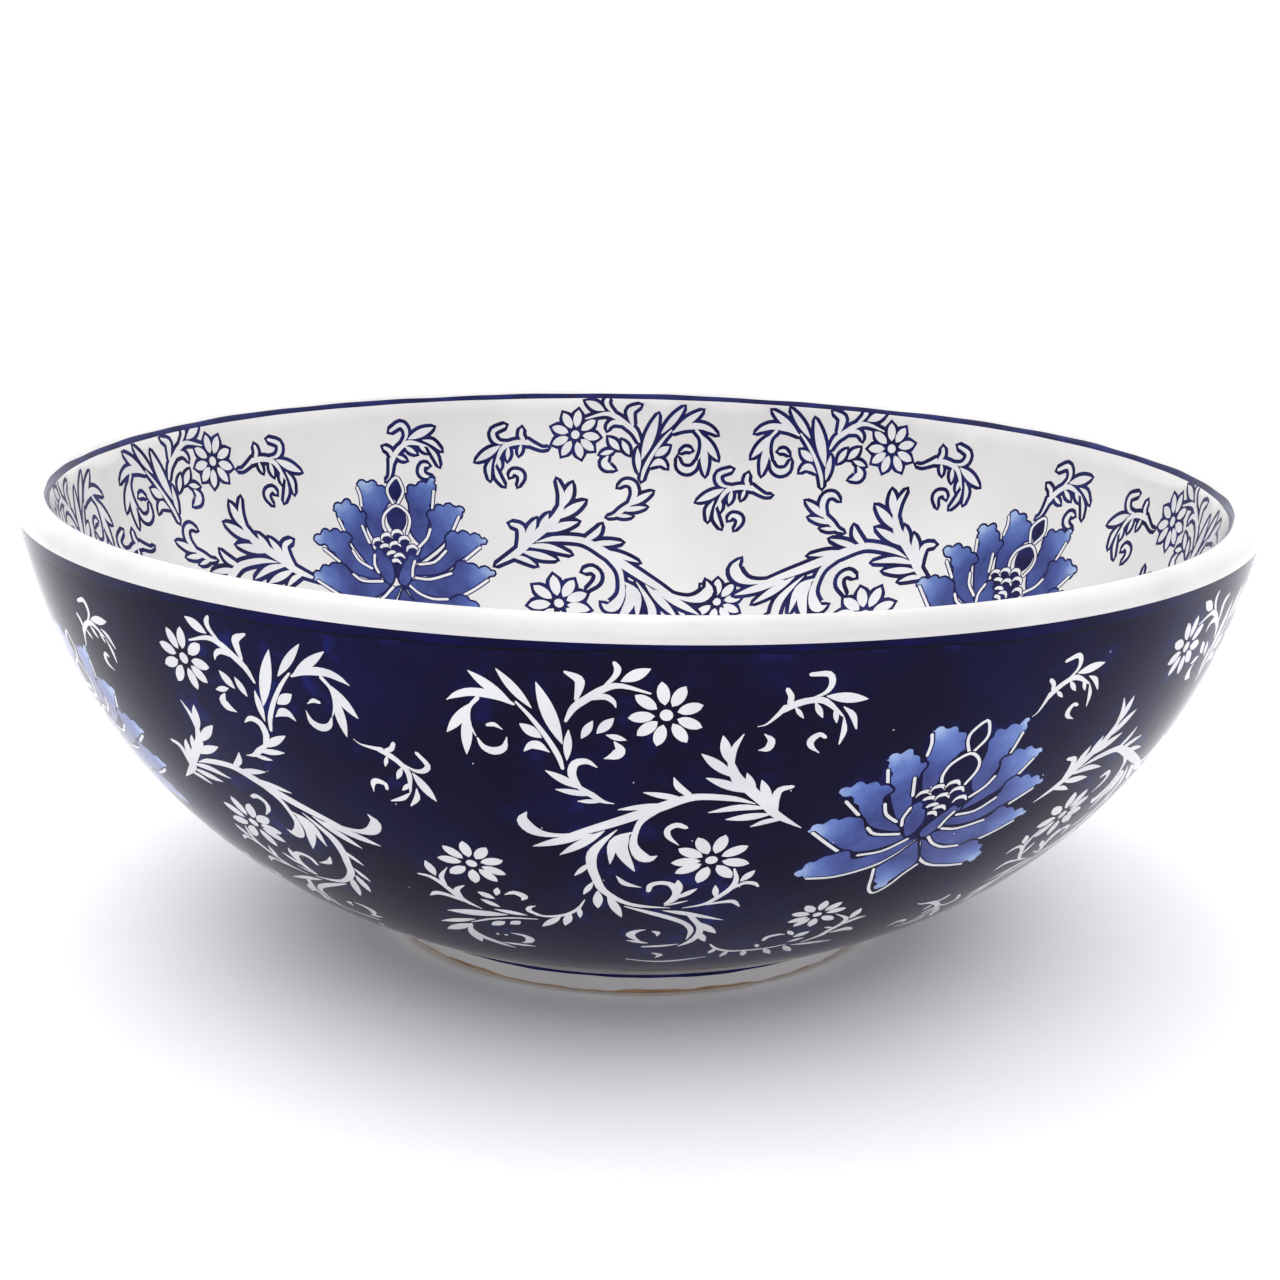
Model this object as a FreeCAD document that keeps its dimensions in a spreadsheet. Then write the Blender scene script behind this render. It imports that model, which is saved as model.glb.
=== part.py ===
import FreeCAD, Part
import Sketcher
import os

# A large porcelain serving bowl, 400 mm across and 150 mm high, standing on a turned foot ring.
# The origin is at the centre of the foot's base, with +Z up along the axis that the bowl is thrown on.
# Every piece is a revolved section. The clay is the wall and the foot ring. The other pieces are the
# coats of fired glaze and paint that lie on the clay: each one's outer face is the bowl's visible face.

DIMENSIONS = {
    "bowl_diameter": 400.0,
    "bowl_height": 150.0,
    "lip_radius": 5.3,
    "upper_wall_radius": 170.0,
    "lower_wall_radius": 400.0,
    "rim_slope": 81.0,
    "shoulder_slope": 29.0,
    "inner_bend_radius": 70.0,
    "floor_level": 15.5,
    "glaze_thickness": 0.8,
    "rim_line_top_angle": 129.0,
    "rim_line_end_angle": 152.0,
    "foot_level": 7.7,
    "foot_base_radius": 83.1,
    "foot_inner_radius": 74.5,
    "foot_inner_draft": 1.5,
    "foot_edge_chamfer": 0.5,
    "foot_glaze_level": 1.0,
    "foot_line_height": 0.9,
}

doc = FreeCAD.newDocument("serving_bowl")
sheet = doc.addObject("Spreadsheet::Sheet", "Dims")
for row, (name, size) in enumerate(DIMENSIONS.items(), start=1):
    sheet.set(f"A{row}", name)
    sheet.set(f"B{row}", str(size))
    sheet.setAlias(f"B{row}", name)
doc.recompute()

GLAZE = "Dims.glaze_thickness"
FOOT_LEVEL = "Dims.foot_level"
FLOOR_LEVEL = "Dims.floor_level"


# ---- Expressions for the section's points. A point is a pair: its radius from the axis and its height.

def along(circle, slope, coat="0"):
    """The point of a wall's circle where the wall rises at this slope, moved out by a coat's thickness."""
    x, y, radius = circle
    reach = f"({radius} + {coat})"
    return f"({x} + {reach} * sin({slope} * 1 deg))", f"({y} - {reach} * cos({slope} * 1 deg))"


def around(circle, angle, coat="0"):
    """The point of a circle at an angle measured from the outward direction, moved out by a coat."""
    x, y, radius = circle
    reach = f"({radius} + {coat})"
    return f"({x} + {reach} * cos({angle} * 1 deg))", f"({y} + {reach} * sin({angle} * 1 deg))"


def at_height(circle, height, coat="0"):
    """The outer point of a wall's circle at a height, moved out by a coat's thickness."""
    x, y, radius = circle
    return f"({x} + sqrt(({radius} + {coat}) ^ 2 - ({y} - {height}) ^ 2))", height


def shifted(circle, coat):
    x, y, radius = circle
    return x, y, f"({radius} + {coat})"


LIP = (
    "(Dims.bowl_diameter / 2 - Dims.lip_radius)",
    "(Dims.bowl_height - Dims.lip_radius)",
    "Dims.lip_radius",
)

# The outer wall is two arcs, tangent to the lip and to each other.
UPPER_X, UPPER_Y = along((LIP[0], LIP[1], "(Dims.lip_radius - Dims.upper_wall_radius)"), "Dims.rim_slope")
UPPER = (UPPER_X, UPPER_Y, "Dims.upper_wall_radius")
LOWER_X, LOWER_Y = along(
    (UPPER_X, UPPER_Y, "(Dims.upper_wall_radius - Dims.lower_wall_radius)"), "Dims.shoulder_slope"
)
LOWER = (LOWER_X, LOWER_Y, "Dims.lower_wall_radius")

# The inner wall starts tangent to the lip, on the outer wall's centre, and bends into a flat floor.
INNER = (UPPER_X, UPPER_Y, "(Dims.upper_wall_radius - 2 * Dims.lip_radius)")
BEND_GAP = f"({INNER[2]} - Dims.inner_bend_radius)"
BEND_Y = f"({FLOOR_LEVEL} + Dims.inner_bend_radius)"
BEND_X = f"({UPPER_X} + sqrt({BEND_GAP} ^ 2 - ({BEND_Y} - {UPPER_Y}) ^ 2))"
BEND = (BEND_X, BEND_Y, "Dims.inner_bend_radius")


def inner_join(coat="0"):
    """Where the inner wall's upper arc meets the bend, moved outward by a coat's thickness."""
    share = f"(({INNER[2]} + {coat}) / {BEND_GAP})"
    x = f"({UPPER_X} + {share} * ({BEND_X} - {UPPER_X}))"
    y = f"({UPPER_Y} + {share} * ({BEND_Y} - {UPPER_Y}))"
    return x, y


def foot_face(height, coat="0"):
    """A point of the foot's outer face, which leans in from the wall down to its base."""
    top = at_height(LOWER, FOOT_LEVEL, coat)[0]
    base = f"(Dims.foot_base_radius + {coat})"
    return f"({base} + ({top} - {base}) * {height} / {FOOT_LEVEL})", height


# ---- Building a revolved piece from its section.

def value(expression):
    return float(sheet.evalExpression(expression))


def add_edge(sketch, start, end, circle):
    """Adds a line, or an arc of a circle, and returns its number and its start's and end's positions."""
    first = FreeCAD.Vector(value(start[0]), value(start[1]), 0)
    last = FreeCAD.Vector(value(end[0]), value(end[1]), 0)
    if circle is None:
        return sketch.addGeometry(Part.LineSegment(first, last), False), 1, 2
    centre = FreeCAD.Vector(value(circle[0]), value(circle[1]), 0)
    whole = Part.Circle(centre, FreeCAD.Vector(0, 0, 1), value(circle[2]))
    anticlockwise = (first - centre).cross(last - centre).z > 0
    if anticlockwise:
        arc = Part.ArcOfCircle(whole, whole.parameter(first), whole.parameter(last))
        return sketch.addGeometry(arc, False), 1, 2
    arc = Part.ArcOfCircle(whole, whole.parameter(last), whole.parameter(first))
    return sketch.addGeometry(arc, False), 2, 1


def bind(sketch, constraint, name, expression):
    number = sketch.addConstraint(constraint)
    sketch.renameConstraint(number, name)
    sketch.setExpression(f"Constraints.{name}", expression)


def revolved_piece(name, section):
    """A body turned from a closed section: a list of corners, each with the circle of the edge after it."""
    body = doc.addObject("PartDesign::Body", name)
    body.Label = name
    sketch = body.newObject("Sketcher::SketchObject", f"{name}_section")
    plane = next(item for item in body.Origin.OriginFeatures if item.Role == "XZ_Plane")
    sketch.AttachmentSupport = [(plane, "")]
    sketch.MapMode = "FlatFace"

    edges = []
    for place, (corner, circle) in enumerate(section):
        following = section[(place + 1) % len(section)][0]
        edges.append(add_edge(sketch, corner, following, circle))

    for place, (corner, circle) in enumerate(section):
        edge, start, _ = edges[place]
        before, _, end_before = edges[place - 1]
        sketch.addConstraint(Sketcher.Constraint("Coincident", before, end_before, edge, start))
        if corner[0] == "0":
            sketch.addConstraint(Sketcher.Constraint("PointOnObject", edge, start, -2))
        else:
            across = Sketcher.Constraint("DistanceX", -1, 1, edge, start, value(corner[0]))
            bind(sketch, across, f"corner_{place}_radius", corner[0])
        if corner[1] == "0":
            sketch.addConstraint(Sketcher.Constraint("PointOnObject", edge, start, -1))
        else:
            up = Sketcher.Constraint("DistanceY", -1, 1, edge, start, value(corner[1]))
            bind(sketch, up, f"corner_{place}_height", corner[1])
        if circle is not None:
            radius = Sketcher.Constraint("Radius", edge, value(circle[2]))
            bind(sketch, radius, f"edge_{place}_radius", circle[2])

    turn = body.newObject("PartDesign::Revolution", f"{name}_turn")
    turn.Profile = sketch
    turn.ReferenceAxis = (sketch, ["V_Axis"])
    turn.Angle = 360
    body.Tip = turn
    body.Placement = FreeCAD.Placement()
    return body


# ---- The pieces. OUT and IN move the outside and the inside back to the clay under their coats.

OUT = f"(0 - {GLAZE})"
IN = GLAZE
LIP_OUTER_ANGLE = "(Dims.rim_slope - 90)"
LIP_INNER_ANGLE = "(Dims.rim_slope + 90)"
LINE_TOP = "Dims.rim_line_top_angle"
LINE_END = "Dims.rim_line_end_angle"


def clay_wall():
    """The thrown clay: a flat floor, a curved wall and a rolled lip."""
    lip = shifted(LIP, OUT)
    return revolved_piece("clay_wall", [
        (("0", FOOT_LEVEL), None),
        (at_height(LOWER, FOOT_LEVEL, OUT), shifted(LOWER, OUT)),
        (along(UPPER, "Dims.shoulder_slope", OUT), shifted(UPPER, OUT)),
        (along(UPPER, "Dims.rim_slope", OUT), lip),
        (around(LIP, "90", OUT), lip),
        (around(LIP, LIP_INNER_ANGLE, OUT), shifted(INNER, IN)),
        (inner_join(IN), shifted(BEND, IN)),
        ((BEND_X, f"({FLOOR_LEVEL} - {GLAZE})"), None),
        (("0", f"({FLOOR_LEVEL} - {GLAZE})"), None),
    ])


def foot_ring():
    """The turned foot: its outer face leans in, its inner face has a draft, its base is bare clay."""
    chamfer = "Dims.foot_edge_chamfer"
    base_edge = foot_face(chamfer, OUT)
    return revolved_piece("foot_ring", [
        (("Dims.foot_inner_radius", "0"), None),
        ((f"({base_edge[0]} - {chamfer})", "0"), None),
        (base_edge, None),
        (at_height(LOWER, FOOT_LEVEL, OUT), None),
        (("(Dims.foot_inner_radius - Dims.foot_inner_draft)", FOOT_LEVEL), None),
    ])


def outer_cobalt_glaze():
    """The deep blue coat outside, from the foot up to the white lip."""
    return revolved_piece("outer_cobalt_glaze", [
        (at_height(LOWER, FOOT_LEVEL), LOWER),
        (along(UPPER, "Dims.shoulder_slope"), UPPER),
        (along(UPPER, "Dims.rim_slope"), None),
        (along(UPPER, "Dims.rim_slope", OUT), shifted(UPPER, OUT)),
        (along(UPPER, "Dims.shoulder_slope", OUT), shifted(LOWER, OUT)),
        (at_height(LOWER, FOOT_LEVEL, OUT), None),
    ])


def lip_coat(name, first_angle, last_angle):
    """A band of glaze or paint on the rolled lip, in two halves between two angles round the lip's section."""
    lip = shifted(LIP, OUT)
    middle_angle = f"(({first_angle} + {last_angle}) / 2)"
    return revolved_piece(name, [
        (around(LIP, first_angle), LIP),
        (around(LIP, middle_angle), LIP),
        (around(LIP, last_angle), None),
        (around(LIP, last_angle, OUT), lip),
        (around(LIP, middle_angle, OUT), lip),
        (around(LIP, first_angle, OUT), None),
    ])


def inner_white_glaze():
    """The white coat inside: the end of the lip, the inner wall and the floor."""
    lip = shifted(LIP, OUT)
    return revolved_piece("inner_white_glaze", [
        (around(LIP, LINE_END), LIP),
        (around(LIP, LIP_INNER_ANGLE), INNER),
        (inner_join(), BEND),
        ((BEND_X, FLOOR_LEVEL), None),
        (("0", FLOOR_LEVEL), None),
        (("0", f"({FLOOR_LEVEL} - {GLAZE})"), None),
        ((BEND_X, f"({FLOOR_LEVEL} - {GLAZE})"), shifted(BEND, IN)),
        (inner_join(IN), shifted(INNER, IN)),
        (around(LIP, LIP_INNER_ANGLE, OUT), lip),
        (around(LIP, LINE_END, OUT), None),
    ])


def foot_coat(name, low, high):
    """A band of glaze or paint on the foot's outer face, between two heights."""
    return revolved_piece(name, [
        (foot_face(low, OUT), None),
        (foot_face(low), None),
        (foot_face(high), None),
        (foot_face(high, OUT), None),
    ])


def underside_white_glaze():
    """The white coat on the underside, within the foot ring."""
    edge = "(Dims.foot_inner_radius - Dims.foot_inner_draft)"
    return revolved_piece("underside_white_glaze", [
        (("0", f"({FOOT_LEVEL} - {GLAZE})"), None),
        ((edge, f"({FOOT_LEVEL} - {GLAZE})"), None),
        ((edge, FOOT_LEVEL), None),
        (("0", FOOT_LEVEL), None),
    ])


LINE_LEVEL = f"({FOOT_LEVEL} - Dims.foot_line_height)"

pieces = [
    clay_wall(),
    foot_ring(),
    outer_cobalt_glaze(),
    lip_coat("rim_white_glaze", LIP_OUTER_ANGLE, LINE_TOP),
    lip_coat("inner_rim_line", LINE_TOP, LINE_END),
    inner_white_glaze(),
    foot_coat("foot_white_glaze", "Dims.foot_glaze_level", LINE_LEVEL),
    foot_coat("foot_line", LINE_LEVEL, FOOT_LEVEL),
    underside_white_glaze(),
]

doc.recompute()

for item in doc.Objects:
    faults = [state for state in item.State if state in ("Invalid", "Error")]
    if faults:
        raise RuntimeError(f"{item.Label} did not rebuild: {faults}")
for piece in pieces:
    if piece.Shape.isNull() or not piece.Shape.isValid():
        raise RuntimeError(f"{piece.Label} has no valid solid")

os.makedirs("parts", exist_ok=True)
for piece in pieces:
    piece.Shape.exportStep(f"parts/{piece.Label}.step")
    box = piece.Shape.BoundBox
    print(
        f"{piece.Label}: {len(piece.Shape.Solids)} solid, volume {piece.Shape.Volume / 1000:.1f} cm3, "
        f"radius {box.XMax:.2f}, height {box.ZMin:.2f} to {box.ZMax:.2f}"
    )
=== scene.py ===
import math

import bpy
import numpy as np
from mathutils import Matrix, Vector
from mathutils.geometry import delaunay_2d_cdt


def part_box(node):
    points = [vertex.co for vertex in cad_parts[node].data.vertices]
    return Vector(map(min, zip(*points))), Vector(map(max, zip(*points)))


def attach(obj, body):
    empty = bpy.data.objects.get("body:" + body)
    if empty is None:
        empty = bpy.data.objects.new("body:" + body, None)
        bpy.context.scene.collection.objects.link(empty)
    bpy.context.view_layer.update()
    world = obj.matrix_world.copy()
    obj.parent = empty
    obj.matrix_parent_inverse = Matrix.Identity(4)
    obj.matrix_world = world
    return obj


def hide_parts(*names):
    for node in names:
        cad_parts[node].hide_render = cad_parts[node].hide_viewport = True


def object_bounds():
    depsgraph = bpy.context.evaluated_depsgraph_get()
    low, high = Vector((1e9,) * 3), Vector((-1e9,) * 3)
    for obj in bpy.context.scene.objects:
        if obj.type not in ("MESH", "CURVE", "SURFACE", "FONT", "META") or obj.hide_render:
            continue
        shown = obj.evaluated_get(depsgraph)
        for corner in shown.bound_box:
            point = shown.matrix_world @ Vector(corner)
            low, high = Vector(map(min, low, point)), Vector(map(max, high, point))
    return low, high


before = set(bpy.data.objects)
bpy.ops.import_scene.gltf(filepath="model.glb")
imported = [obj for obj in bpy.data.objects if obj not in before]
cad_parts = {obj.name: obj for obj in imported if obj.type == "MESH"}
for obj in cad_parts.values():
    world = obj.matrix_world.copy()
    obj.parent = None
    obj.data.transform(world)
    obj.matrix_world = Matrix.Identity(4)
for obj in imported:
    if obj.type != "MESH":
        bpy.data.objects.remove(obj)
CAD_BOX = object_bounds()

# A porcelain serving bowl, cobalt blue outside and white inside, with reserved white scrollwork and
# blue flowers. Lengths are millimetres and angles degrees, until a point goes into a mesh.
# A place on a wall is (bearing, run). Outside, the bearing is 0 at the front and grows to the right,
# and the run goes up from the foot. Inside, the bearing is 0 at the back, and the run goes out and up
# from the floor's centre.

MM = 0.001
RIM_RADIUS = min(CAD_BOX[1][0], CAD_BOX[1][1], -CAD_BOX[0][0], -CAD_BOX[0][1]) / MM
RIM_HEIGHT = CAD_BOX[1][2] / MM
LIP_RADIUS = 5.3
UPPER_RADIUS = 170.0
LOWER_RADIUS = 400.0
RIM_SLOPE = math.radians(81)
SHOULDER_SLOPE = math.radians(29)
BEND_RADIUS = 70.0
FLOOR_LEVEL = 15.5
FOOT_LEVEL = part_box("foot_line")[1][2] / MM
FOOT_LINE_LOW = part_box("foot_line")[0][2] / MM
FOOT_GLAZE_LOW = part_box("foot_white_glaze")[0][2] / MM
FOOT_BASE_RADIUS = 83.1
LINE_TOP = 129.0
LINE_END = 152.0
INLAY = 0.3
PETAL_EDGE = 0.8
LINE_EDGE = 0.45
LEAF_EDGE = 1.5
LOBE = 4.6
LOBES_FROM = 0.68
LOBES_FADE = 0.15
LONG_PETAL = 20.0
TIP_FADE = 15.0
THINNEST = 0.24
COLUMNS = 360
PINHOLES = 90
PINHOLE_RADIUS = 0.2
PINHOLE_TURN = 137.5
PINHOLE_RISE = 61.8
PINHOLE_ZONE = (15, 160)


# ---- The bowl's section

def facing(slope):
    """The outward direction, as (radius, height), of a wall that rises at this slope."""
    return np.stack([np.sin(slope), -np.cos(slope)], axis=-1)


LIP = np.array([RIM_RADIUS - LIP_RADIUS, RIM_HEIGHT - LIP_RADIUS])
UPPER = LIP - (UPPER_RADIUS - LIP_RADIUS) * facing(RIM_SLOPE)
LOWER = UPPER + (UPPER_RADIUS - LOWER_RADIUS) * facing(SHOULDER_SLOPE)
FOOT_SLOPE = math.acos((LOWER[1] - FOOT_LEVEL) / LOWER_RADIUS)
LOWER_RUN = LOWER_RADIUS * (SHOULDER_SLOPE - FOOT_SLOPE)
OUTER_RUN = LOWER_RUN + UPPER_RADIUS * (RIM_SLOPE - SHOULDER_SLOPE)
FOOT_TOP_RADIUS = LOWER[0] + LOWER_RADIUS * math.sin(FOOT_SLOPE)

INNER_RADIUS = UPPER_RADIUS - 2 * LIP_RADIUS
BEND_HEIGHT = FLOOR_LEVEL + BEND_RADIUS
BEND_REACH = math.sqrt((INNER_RADIUS - BEND_RADIUS) ** 2 - (BEND_HEIGHT - UPPER[1]) ** 2)
FLAT_RUN = UPPER[0] + BEND_REACH
BEND_SLOPE = math.atan2(BEND_REACH, UPPER[1] - BEND_HEIGHT)
BEND_RUN = FLAT_RUN + BEND_RADIUS * BEND_SLOPE
INNER_RUN = BEND_RUN + INNER_RADIUS * (RIM_SLOPE - BEND_SLOPE)
INNER_END = INNER_RUN + LIP_RADIUS * (RIM_SLOPE + math.pi / 2 - math.radians(LINE_END))


def outside(run):
    """Points and normals, as (radius, height), of the outer wall."""
    run = np.asarray(run, float)
    low = run < LOWER_RUN
    upper_slope = SHOULDER_SLOPE + (run - LOWER_RUN) / UPPER_RADIUS
    slope = np.where(low, FOOT_SLOPE + run / LOWER_RADIUS, upper_slope)
    normal = facing(slope)
    point = np.where(low[..., None], LOWER + LOWER_RADIUS * normal, UPPER + UPPER_RADIUS * normal)
    return point, normal


def inside(run):
    """Points and normals, as (radius, height), of the floor, the inner wall and the lip's inner edge."""
    run = np.asarray(run, float)
    slope = np.select(
        [run < FLAT_RUN, run < BEND_RUN, run < INNER_RUN],
        [0 * run, (run - FLAT_RUN) / BEND_RADIUS, BEND_SLOPE + (run - BEND_RUN) / INNER_RADIUS],
        RIM_SLOPE - (run - INNER_RUN) / LIP_RADIUS,
    )
    normal = -facing(slope)
    flat = np.stack([run, FLOOR_LEVEL + 0 * run], axis=-1)
    bend = np.array([FLAT_RUN, BEND_HEIGHT]) - BEND_RADIUS * normal
    wall = UPPER - INNER_RADIUS * normal
    on_lip = LIP + LIP_RADIUS * normal
    stretch = [(run < FLAT_RUN)[..., None], (run < BEND_RUN)[..., None], (run < INNER_RUN)[..., None]]
    return np.select(stretch, [flat, bend, wall], on_lip), normal


def lip(angle):
    """Points and normals of the rolled lip, at angles round its section from the outward direction."""
    angle = np.radians(angle)
    normal = np.stack([np.cos(angle), np.sin(angle)], axis=-1)
    return LIP + LIP_RADIUS * normal, normal


def foot(height):
    """Points and normals of the foot's outer face."""
    height = np.asarray(height, float)
    lean = (FOOT_TOP_RADIUS - FOOT_BASE_RADIUS) / FOOT_LEVEL
    normal = np.stack([1 + 0 * height, -lean + 0 * height], axis=-1) / math.hypot(1, lean)
    return np.stack([FOOT_BASE_RADIUS + lean * height, height], axis=-1), normal


def turned(section, bearing, front):
    """Points of a section, turned to bearings that count from the front (-1) or from the back (1)."""
    bearing = np.radians(bearing)
    radius, height = section[..., 0], section[..., 1]
    return np.stack([radius * np.sin(bearing), front * radius * np.cos(bearing), height], axis=-1)


# ---- Meshes

def welded(points):
    """For each point, the number of the first point in the same place."""
    _, first, same = np.unique(np.round(points, 3), axis=0, return_index=True, return_inverse=True)
    return first[same.reshape(-1)]


def thin_shell(name, places, triangles, surface, front, depth, values):
    """A closed skin under a patch of a surface, at (bearing, run) places, with values as attributes."""
    section, section_normal = surface(places[:, 1])
    points = turned(section, places[:, 0], front)
    normals = turned(section_normal, places[:, 0], front)
    triangles = welded(points)[triangles]
    corners = np.sort(triangles, axis=1)
    triangles = triangles[(corners[:, 0] != corners[:, 1]) & (corners[:, 1] != corners[:, 2])]
    used, triangles = np.unique(triangles, return_inverse=True)
    triangles = triangles.reshape(-1, 3)
    points, normals = points[used], normals[used]

    a, b, c = (points[triangles[:, i]] for i in range(3))
    facing_in = np.einsum("ij,ij->i", np.cross(b - a, c - a), normals[triangles[:, 0]]) < 0
    triangles[facing_in] = triangles[facing_in][:, ::-1]

    edges = np.concatenate([triangles[:, [0, 1]], triangles[:, [1, 2]], triangles[:, [2, 0]]])
    _, number, count = np.unique(np.sort(edges, axis=1), axis=0, return_inverse=True, return_counts=True)
    border = edges[count[number.reshape(-1)] == 1]

    total = len(points)
    walls = np.column_stack([border[:, 1], border[:, 0], border[:, 0] + total, border[:, 1] + total])
    faces = triangles.tolist() + (triangles[:, ::-1] + total).tolist() + walls.tolist()
    mesh = bpy.data.meshes.new(name)
    mesh.from_pydata((np.concatenate([points, points - depth * normals]) * MM).tolist(), [], faces)
    for key, value in values.items():
        layer = mesh.attributes.new(key, "FLOAT", "POINT")
        layer.data.foreach_set("value", np.tile(value[used], 2))
    mesh.shade_smooth()
    mesh.normals_split_custom_set_from_vertices(np.concatenate([normals, -normals]).tolist())
    piece = bpy.data.objects.new(name, mesh)
    bpy.context.collection.objects.link(piece)
    return piece


def ring(name, surface, low, high, rows, depth):
    """A band all round the bowl between two edges, each a function of the bearing."""
    bearings = np.linspace(0, 360, COLUMNS + 1)
    share = np.linspace(0, 1, rows + 1)[:, None]
    runs = low(bearings) * (1 - share) + high(bearings) * share
    places = np.column_stack([np.tile(bearings, rows + 1), runs.reshape(-1)])
    corner = (np.arange(rows)[:, None] * (COLUMNS + 1) + np.arange(COLUMNS)).reshape(-1)
    above = corner + COLUMNS + 1
    triangles = np.concatenate([
        np.column_stack([corner, corner + 1, above + 1]),
        np.column_stack([corner, above + 1, above]),
    ])
    return thin_shell(name, places, triangles, surface, -1, depth, {})


def wave(bearing, size, phase):
    """A hand's small unevenness along an edge that closes on itself."""
    turn = np.radians(bearing)
    return size * (
        0.5 * np.sin(7 * turn + phase)
        + 0.3 * np.sin(19 * turn + 2 * phase)
        + 0.2 * np.sin(43 * turn + 3 * phase)
    )


# ---- Brush marks: flat outlines in millimetres, about a motif's own anchor

def smooth(points, closed=False, steps=4):
    """A Catmull-Rom curve through the points."""
    points = np.asarray(points, float)
    if closed:
        padded = np.concatenate([points[-1:], points, points[:2]])
    else:
        padded = np.concatenate([2 * points[:1] - points[1:2], points, 2 * points[-1:] - points[-2:-1]])
    t = (np.arange(steps) / steps)[:, None]
    spans = []
    for p0, p1, p2, p3 in zip(padded, padded[1:], padded[2:], padded[3:]):
        square = 2 * p0 - 5 * p1 + 4 * p2 - p3
        cube = 3 * p1 - p0 - 3 * p2 + p3
        spans.append(0.5 * (2 * p1 + (p2 - p0) * t + square * t**2 + cube * t**3))
    if not closed:
        spans.append(points[-1:])
    return np.concatenate(spans)


def sideways(path):
    """The unit direction to the left at each point of a path."""
    along = np.gradient(path, axis=0)
    along /= np.maximum(np.linalg.norm(along, axis=1), 1e-6)[:, None]
    return np.column_stack([-along[:, 1], along[:, 0]])


def brushed(path, widths, grow=0.0):
    """The outline of a stroke along a path, grown by a margin."""
    side = sideways(path)
    half = np.maximum(widths / 2, THINNEST / 2)[:, None] + grow
    start = path[0] + half[0] * np.array([-side[0, 1], side[0, 0]])
    end = path[-1] - half[-1] * np.array([-side[-1, 1], side[-1, 0]])
    return np.concatenate([[start], path + side * half, [end], (path - side * half)[::-1]])


def to_mm(points, anchor):
    """Places on the outer wall, as millimetres to the right of an anchor and up the wall from it."""
    points = np.array(points, float)
    points[:, 0] = np.radians(points[:, 0] - anchor[0]) * outside(points[:, 1])[0][:, 0]
    points[:, 1] -= anchor[1]
    return points


def mark(kind, outline, grown=None):
    """A kind of paint, an outline, and the outline of the dark edge under it."""
    return kind, outline, outline if grown is None else grown


def stroke(anchor, *points, kind="leaf"):
    """A brush stroke through (bearing, run, width) points."""
    line = smooth(to_mm(points, anchor), steps=3)
    path, widths = line[:, :2], line[:, 2]
    return mark(kind, brushed(path, widths), brushed(path, widths, LEAF_EDGE))


def blade(path, width, fullness, kind):
    """A shape along a path that is pointed at both ends, and blunter for a lower fullness."""
    share = np.linspace(0, 1, len(path))
    widths = width * np.sin(np.pi * share) ** fullness
    return mark(kind, brushed(path, widths), brushed(path, widths, LEAF_EDGE))


def leaf(anchor, base, tip, width, via=None, kind="leaf"):
    """A leaf from its base to its tip, bent through a third place if there is one."""
    ends = to_mm([base, via or base, tip], anchor)
    middle = ends[1] if via else (ends[0] + ends[2]) / 2
    return blade(smooth([ends[0], middle, ends[2]], steps=4), width, 0.8, kind)


def dot(anchor, place, radius, kind="leaf"):
    """A round dot."""
    centre = to_mm([place], anchor)[0]
    turn = np.linspace(0, 2 * np.pi, 13)[:-1]
    disc = np.column_stack([np.cos(turn), np.sin(turn)])
    return mark(kind, centre + radius * disc, centre + (radius + LEAF_EDGE) * disc)


def daisy(anchor, place, reach, angles, eye=1.7):
    """A small daisy: a dot with a petal at each angle."""
    centre = to_mm([place], anchor)[0]
    marks = [dot(anchor, place, eye)]
    for angle in np.radians(angles):
        out = np.array([math.cos(angle), math.sin(angle)])
        share = np.linspace(eye + 1.3, reach, 8)[:, None]
        marks.append(blade(centre + out * share, 0.34 * reach, 0.55, "leaf"))
    return marks


def leaves(anchor, *rows):
    """A leaf for each row."""
    return [leaf(anchor, *row) for row in rows]


def strokes(anchor, *rows):
    """A stroke for each row."""
    return [stroke(anchor, *row) for row in rows]


# ---- Motifs: each is its anchor and its marks

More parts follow.
